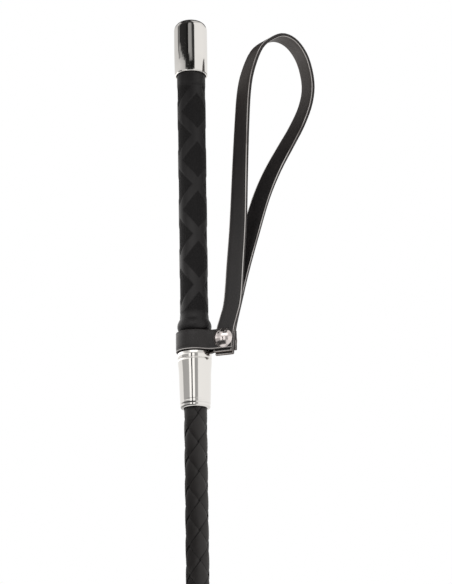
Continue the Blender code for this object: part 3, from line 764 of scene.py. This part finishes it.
def buildRivet():
    face, r, high = rivet["face"], rivet["headRadius"], rivet["headHeight"]
    rimTop = face + 1.0
    rise = face + 0.3 + high - rimTop
    dome = (rise ** 2 + (r - 0.35) ** 2) / (2 * rise)
    lean = math.degrees(math.acos((r - 0.35) / dome))
    crown = arcRings((0, rimTop + rise - dome), dome, 90, lean, 12)
    back = -face - rivet["washer"] - 0.3
    profile = [(0, crown[0][1]), *crown[1:], (r - 0.1, rimTop - 0.15), (r, rimTop - 0.45),
               (r - 0.02, face + 0.3), (r - 0.25, face), (rivet["postRadius"], face),
               (rivet["postRadius"], back), (2.6, back), (2.55, back - 0.3), (2.1, back - 0.6),
               (1.2, back - 0.8), (0, back - 0.8)]
    head = turnPiece("rivetHead", profile, 64)
    washer = turnPiece("rivetWasher", [
        (rivet["postRadius"] + 0.3, -face), (4.6, -face), (4.85, -face - 0.15), (4.9, -face - 0.35),
        (4.75, -face - 0.6), (4.3, -face - 0.78), (rivet["postRadius"] + 0.5, -face - 0.8),
        (rivet["postRadius"] + 0.3, -face - 0.7), (rivet["postRadius"] + 0.3, -face)], 64)
    for piece, node in ((head, "rivet_cap"), (washer, "rivet_back")):
        placeOnTab(piece)
        finishPiece(piece, "collar", "chrome", [node], nickel)


buildRivet()
print("rivet made")


# plaited cover: three flat strands each way, over one and under one
plait = {
    "radius": 6.35, "tipRadius": 3.35, "taperTop": -230.0, "pitch": 47.6, "thickness": 0.95,
    "cornerHeight": -134.1, "cornerTurn": -45.0, "strands": 3, "rows": 620, "columns": 8,
    "crown": {1: 0.14, -1: 0.42}, "share": {1: 0.96, -1: 0.995}, "sharpness": 2.6,
}


def plaitRadius(z):
    along = clampShare((plait["taperTop"] - z) / (plait["taperTop"] - plaitLow))
    return plait["radius"] + (plait["tipRadius"] - plait["radius"]) * along


def turnsTable(rows):
    # how far round the plait has gone at each height: the pitch shortens with the radius
    heights = [plaitHigh + (plaitLow - plaitHigh) * i / rows for i in range(rows + 1)]
    turns, total = [], 0.0
    for a, b in zip(heights, heights[1:]):
        turns.append(total)
        total += (b - a) * plait["radius"] / (plait["pitch"] * plaitRadius((a + b) / 2))
    turns.append(total)
    return heights, turns


def makeStrand(name, hand):
    rows, columns, n = plait["rows"], plait["columns"], plait["strands"]
    sharp = plait["sharpness"]
    heights, turns = turnsTable(rows)
    zero = (plait["cornerHeight"] - plaitHigh) / plait["pitch"]
    bpy.ops.object.select_all(action="DESELECT")
    bpy.ops.mesh.primitive_grid_add(x_subdivisions=rows, y_subdivisions=columns, size=1)
    strand = renamePiece(name)
    for vert in strand.data.vertices:
        row = round((vert.co.x + 0.5) * rows)
        across = vert.co.y * plait["share"][hand]
        z, turned = heights[row], turns[row] - zero
        angle = (0.5 + across) / n + hand * turned  # in turns from the corner column
        own = across * 2
        other = n * (angle + hand * turned)
        wave = math.tanh(sharp * math.sin(math.pi * other)) / math.tanh(sharp)
        lift = plait["thickness"] / 2 * hand * wave
        bow = plait["crown"][hand] * abs(own) ** 3
        radius = plaitRadius(z) - plait["thickness"] * 0.5 + lift - bow
        direction = math.radians(plait["cornerTurn"]) + 2 * math.pi * angle
        vert.co = Vector((math.sin(direction) * radius, -math.cos(direction) * radius, z)) * mm
    turnOutward(strand)
    middle = strand.data.polygons[len(strand.data.polygons) // 2]
    if middle.normal.x * middle.center.x + middle.normal.y * middle.center.y < 0:
        strand.data.flip_normals()
    addModifier(strand, "SOLIDIFY", {"thickness": plait["thickness"] * mm, "offset": -1.0})
    smoothShade(strand, 60)
    return strand


def buildPlait():
    for hand, side in ((1, "Right"), (-1, "Left")):
        first = makeStrand("strand" + side + "1", hand)
        strands = [first]
        for number in (2, 3):
            activate(first)
            bpy.ops.object.duplicate()
            strand = renamePiece("strand" + side + str(number))
            strand.rotation_euler.z = 2 * math.pi * (number - 1) / plait["strands"]
            keepPlace(strand)
            strands.append(strand)
        for strand in strands:
            nodes = ["plaited_cover"] if strand.name == "strandRight1" else []
            finishPiece(strand, "crop", "plait", nodes, strandLeather[hand])


buildPlait()
print("plait made")


# thread winding that binds the flap's leather to the tip
winding = {"radius": 5.35, "threadRadius": 0.52, "turns": 9, "top": -472.4, "step": 1.0}


def buildWinding():
    bpy.ops.object.select_all(action="DESELECT")
    bpy.ops.mesh.primitive_circle_add(
        vertices=10, radius=winding["threadRadius"] * mm, rotation=(math.pi / 2, 0, 0),
        location=(winding["radius"] * mm, 0, winding["top"] * mm))
    piece = renamePiece("tipWinding")
    keepPlace(piece)
    addModifier(piece, "SCREW", {
        "screw_offset": -winding["step"] * mm, "iterations": winding["turns"] - 1, "steps": 48,
        "render_steps": 48})
    startEdit(piece)
    selectWhere(lambda v: v.is_boundary)
    bpy.ops.mesh.edge_face_add()
    bpy.ops.mesh.select_all(action="SELECT")
    bpy.ops.mesh.normals_make_consistent(inside=False)
    endEdit()
    smoothShade(piece, 60)
    finishPiece(piece, "crop", "thread", ["tip_binding"], thread)


buildWinding()
print("winding made")


# flap: two leaves of leather, wrapped on the tip, flattened, stitched round the edge
# heights are counted from the bending line, upwards
flap = {
    "width": 24.0, "neckWidth": 11.0, "thickness": 1.6, "gap": 0.3, "corner": 6.0, "below": 50.0,
    "flatEnd": 2.0, "spread": 12.5, "sleeveRadius": 3.9, "sleeveTop": 24.0, "roundEnd": 11.0,
    "bevel": 0.4, "columns": 24,
}
stitching = {"inset": 3.0, "top": -16.0, "count": 17, "radius": 0.42, "gap": 0.9, "proud": 0.12}


def wrapShare(up):
    # 0 where the leaf lies flat, 1 where it is wrapped on the tip
    return softStep(clampShare((up - flap["flatEnd"]) / (flap["roundEnd"] - flap["flatEnd"])))


def flapHalfWidth(up):
    half, neck = flap["width"] / 2, flap["neckWidth"] / 2
    if up > -flap["flatEnd"]:
        return neck + (flap["sleeveRadius"] - 0.15 - neck) * wrapShare(up)
    corner = flap["corner"]
    near = up + flap["below"]
    if near < corner:
        return half - corner + math.sqrt(max(corner ** 2 - (corner - near) ** 2, 0.0))
    return neck + (half - neck) * softStep(min((-flap["flatEnd"] - up) / flap["spread"], 1.0))


def buildLeaf(name, side, nodes):
    ups = [flap["sleeveTop"] - i * 1.0 for i in range(27)]
    ups += [-3.5 - i * 1.25 for i in range(33)]
    end = flap["below"]
    ups += [-end + flap["corner"] * (1 - math.cos(math.radians(a))) for a in (75, 60, 45, 32, 20, 9, 0)]
    rows, columns = len(ups) - 1, flap["columns"]
    bpy.ops.object.select_all(action="DESELECT")
    bpy.ops.mesh.primitive_grid_add(x_subdivisions=columns, y_subdivisions=rows, size=1)
    leaf = renamePiece(name)
    giveMaterials(leaf, leather, edgeLeather, corner)
    skived = leaf.vertex_groups.new(name="skived")
    for vert in leaf.data.vertices:
        up = ups[round((0.5 - vert.co.y) * rows)]
        across = vert.co.x * 2
        half = flapHalfWidth(up)
        wrap = wrapShare(up)
        flatX, flatY = across * half, (flap["thickness"] + flap["gap"]) / 2
        angle = across * math.radians(87)
        roundX, roundY = math.sin(angle) * flap["sleeveRadius"], math.cos(angle) * flap["sleeveRadius"]
        x, y = flatX + (roundX - flatX) * wrap, flatY + (roundY - flatY) * wrap
        vert.co = Vector((x, side * y, hingeHeight + up)) * mm
        skived.add([vert.index], 1.0 - 0.3 * wrap, "REPLACE")
    addModifier(leaf, "SOLIDIFY", {
        "thickness": flap["thickness"] * mm, "offset": 0.0, "vertex_group": "skived",
        "material_offset_rim": 1})
    roundCorners(leaf, flap["bevel"])
    turnOutward(leaf)
    smoothShade(leaf, 50)
    finishPiece(leaf, None, "leather", nodes)
    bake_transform(leaf)


def stitchPlaces():
    inset = stitching["inset"]
    side = flap["width"] / 2 - inset
    top, bottom, r = stitching["top"], -flap["below"] + inset, flap["corner"] - inset
    path = [(side, top), *arcRings((side - r, bottom + r), r, 0, -90, 8)]
    path += [(-x, up) for x, up in reversed(path)]
    lengths = [math.dist(a, b) for a, b in zip(path, path[1:])]
    spacing = sum(lengths) / stitching["count"]
    places, left = [path[0]], spacing
    for start, end, length in zip(path, path[1:], lengths):
        used = 0.0
        while length - used >= left - 1e-9:
            used += left
            share = used / length
            places.append(tuple(a + share * (b - a) for a, b in zip(start, end)))
            left = spacing
        left -= length - used
    return places


def buildStitches():
    places = stitchPlaces()
    surface = (flap["thickness"] + flap["gap"]) / 2 + flap["thickness"] / 2
    made = []
    for side in (-1, 1):
        for (x, up), (nextX, nextUp) in zip(places, places[1:]):
            length = math.dist((x, up), (nextX, nextUp)) - stitching["gap"]
            height = hingeHeight + (up + nextUp) / 2
            bpy.ops.object.select_all(action="DESELECT")
            bpy.ops.mesh.primitive_cylinder_add(
                vertices=8, radius=stitching["radius"] * mm, depth=length * mm,
                location=((x + nextX) / 2 * mm, side * (surface + stitching["proud"]) * mm, height * mm),
                rotation=(0, math.atan2(nextX - x, nextUp - up), 0))
            stitch = bpy.context.object
            bpy.ops.object.mode_set(mode="EDIT")
            bpy.ops.mesh.select_all(action="SELECT")
            bpy.ops.mesh.bevel(offset=0.2 * mm, segments=2)
            endEdit()
            made.append(stitch)
    bpy.ops.object.select_all(action="DESELECT")
    for stitch in made:
        stitch.select_set(True)
    bpy.context.view_layer.objects.active = made[0]
    bpy.ops.object.join()
    piece = renamePiece("saddleStitches")
    keepPlace(piece)
    smoothShade(piece, 60)
    finishPiece(piece, "flap", "thread", ["flap_stitches"], thread)


buildLeaf("flapFrontLeaf", -1, ["flap_front", "flap_neck"])
buildLeaf("flapBackLeaf", 1, ["flap_back"])
buildStitches()
print("flap made")


# inner nodes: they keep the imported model's shape and take a material
glass = glassRod()
beech = turnedBeech()
nylon = mouldedNylon()
for nodeName, material in (("core_rod", glass), ("handle_core", beech), ("cap_plug", beech),
                           ("neck_bush", nylon), ("upper_whipping", thread)):
    nodeMaterials = frame["nodes"][nodeName].data.materials
    nodeMaterials.clear()
    nodeMaterials.append(material)


# floor, light and camera: lengths in metres where no note says mm
studio = {"tentRadius": 0.15, "tentLow": -0.62, "tentHigh": 0.36, "floor": -0.5452}

# how bright the tent is at (degrees from the side that faces the camera, towards +X), in rows:
# height in mm where a row starts, height where it is fully there, and its panels
capMiddle = [(-27, 0.02), (-24, 0.004), (-17, 0.004), (-13, 0.37), (6, 0.33), (10, 0.05), (25, 0.03),
             (28, 0.92), (80, 0.95)]
capPanels = [(-99, 0.7), (-96, 0.05), (-91, 0.05), (-88, 0.34), (-84, 0.3), (-80, 0.03), *capMiddle]
ferrulePanels = [(-37, 1.2), (-25, 1.25), (-23.5, 0.03), (-16.5, 0.03), (-15, 1.25), (-2, 1.2)]
tentRows = [
    (-700, -700, [(-180, 0.9), (180, 0.9)]),
    (-260, -230, [(-180, 0.55), (-150, 0.45), (-100, 0.12), (-60, 0.05), (0, 0.06), (12, 0.8),
                  (60, 0.9), (180, 0.8)]),
    (-128, -112, [(-180, 0.95), (-94, 0.92), (-90, 0.42), (-41, 0.44), *ferrulePanels,
                  (1, 0.33), (20, 0.42), (23, 0.98), (180, 0.95)]),
    (-62, -58, [(-180, 1.0), (-150, 1.7), (-95, 1.5), (-41, 1.1), *ferrulePanels,
                (1, 0.4), (20, 0.45), (24, 0.95), (100, 0.9), (180, 1.0)]),
    (-52, -46, [(-180, 1.0), (-150, 1.9), (-95, 1.7), (-75, 0.9), (-60, 0.6), (0, 0.55), (40, 0.7),
                (100, 0.9), (180, 1.0)]),
    (-34, -14, [(-180, 1.0), (-150, 1.8), (-100, 1.7), (-85, 0.7), (-50, 0.5), (-38, 0.9), (-24, 1.9),
                (14, 1.9), (26, 0.7), (100, 0.7), (180, 1.0)]),
    (25, 60, [(-180, 0.7), (-150, 1.1), (-132, 1.1), (-128, 0.1), (-120, 0.1), (-116, 1.1), (-100, 1.1),
              (-92, 0.06), (-66, 0.05), (-60, 0.7), (-28, 0.75), (-20, 0.04), (12, 0.05), (22, 0.8),
              (95, 0.75), (105, 0.06), (135, 0.05), (145, 0.7), (180, 0.7)]),
    (118, 126, [(-180, 0.8), (-80, 0.75), (-40, 0.5), (-34, 0.03), (10, 0.01), (25, 0.03), (28, 0.92),
                (180, 0.9)]),
    (133, 136, [(-180, 0.8), (-84, 0.7), (-58, 0.45), (-48, 0.3), (-45, 0.03), (-12, 0.01), (-5, 0.3),
                (8, 0.28), (12, 0.04), (25, 0.03), (28, 0.92), (180, 0.9)]),
    (138, 141, [(-180, 0.75), (-92, 0.7), (-88, 0.2), (-70, 0.4), (-62, 0.3), (-58, 0.03), *capMiddle,
                (180, 0.85)]),
    (143, 147, [(-180, 0.72), (-97, 0.7), (-93, 0.08), (-80, 0.4), (-73, 0.3), (-69, 0.03), *capMiddle,
                (180, 0.85)]),
    (149, 155, [(-180, 0.72), *capPanels, (130, 0.9), (180, 0.85)]),
    (175, 200, [(-180, 0.04), (-150, 0.04), (-138, 0.6), *capPanels, (125, 0.8), (145, 0.05), (180, 0.04)]),
    (300, 330, [(-180, 0.04), (30, 0.04), (45, 0.7), (120, 0.6), (145, 0.05), (180, 0.04)]),
]


def buildTent():
    # seen only in reflections: a light tent's white and black panels round the piece
    bpy.ops.object.select_all(action="DESELECT")
    low, high = studio["tentLow"], studio["tentHigh"]
    bpy.ops.mesh.primitive_cylinder_add(
        vertices=96, radius=studio["tentRadius"], depth=high - low, location=(0, 0, (high + low) / 2),
        end_fill_type="TRIFAN")
    tent = renamePiece("lightTent")
    keepPlace(tent)
    tent.visible_camera = tent.visible_diffuse = tent.visible_transmission = False
    tent.visible_shadow = tent.visible_volume_scatter = False
    material = bpy.data.materials.new("tentPanels")
    material.use_nodes = True
    tree = material.node_tree
    tree.nodes.clear()
    place = addNode(tree, "TexCoord", {})
    axes = addNode(tree, "SeparateXYZ", {"Vector": (place, "Object")})
    front = addNode(tree, "Math", {"operation": "MULTIPLY", 0: (axes, "Y"), 1: -1.0})
    turn = addNode(tree, "Math", {"operation": "ARCTAN2", 0: (axes, "X"), 1: (front, "Value")})
    share = addNode(tree, "MapRange", {
        "Value": (turn, "Value"), "From Min": -math.pi, "From Max": math.pi})
    colour = None
    for start, full, panels in tentRows:
        ramp = addNode(tree, "ValToRGB", {"Fac": (share, "Result")})
        elements = ramp.color_ramp.elements
        while len(elements) < len(panels):
            elements.new(1.0)
        for element, (degrees, grey) in zip(elements, panels):
            element.position = (degrees + 180) / 360
            element.color = (grey / 2, grey / 2 * 0.985, grey / 2 * 0.965, 1.0)
        if colour is None:
            colour = (ramp, "Color")
            continue
        rise = addNode(tree, "MapRange", {
            "Value": (axes, "Z"), "From Min": start * mm, "From Max": full * mm})
        mixed = addNode(tree, "MixRGB", {
            "Fac": (rise, "Result"), "Color1": colour, "Color2": (ramp, "Color")})
        colour = (mixed, "Color")
    glow = addNode(tree, "Emission", {"Color": colour, "Strength": 2.0})
    addNode(tree, "OutputMaterial", {"Surface": (glow, "Emission")})
    material.cycles.emission_sampling = "NONE"
    tent.data.materials.append(material)


def buildFloor():
    bpy.ops.object.select_all(action="DESELECT")
    bpy.ops.mesh.primitive_plane_add(size=8.0, location=(0, 0, studio["floor"]))
    ground = renamePiece("floor")
    paint = newMaterial("paintedFloor", {"Base Color": toLinear("#f1f1ef"), "Roughness": 0.8})[0]
    ground.data.materials.append(paint)


def buildWorld():
    world = bpy.data.worlds.new("whiteRoom")
    bpy.context.scene.world = world
    world.use_nodes = True
    world.node_tree.nodes["Background"].inputs["Color"].default_value = (1, 1, 1, 1)
    world.node_tree.nodes["Background"].inputs["Strength"].default_value = 1.0
    bpy.context.scene.view_settings.view_transform = "Standard"


view = {"target": (0.01775, 0.0, -0.0569), "distance": 1.0, "elevation": -16.0, "roll": -1.05, "lens": 111.3}


def buildCamera():
    lift = math.radians(view["elevation"])
    back = Vector((0, -math.cos(lift), math.sin(lift)))
    data = bpy.data.cameras.new("camera")
    data.lens = view["lens"]
    data.sensor_width = 36.0
    camera = bpy.data.objects.new("camera", data)
    bpy.context.scene.collection.objects.link(camera)
    camera.location = Vector(view["target"]) + back * view["distance"]
    aimed = (-back).to_track_quat("-Z", "Y").to_matrix()
    rolled = Matrix.Rotation(math.radians(view["roll"]), 3, "Z")
    camera.rotation_euler = (aimed @ rolled).to_euler()
    bpy.context.scene.camera = camera


buildTent()
buildFloor()
buildWorld()
buildCamera()
print("floor, light and camera made")
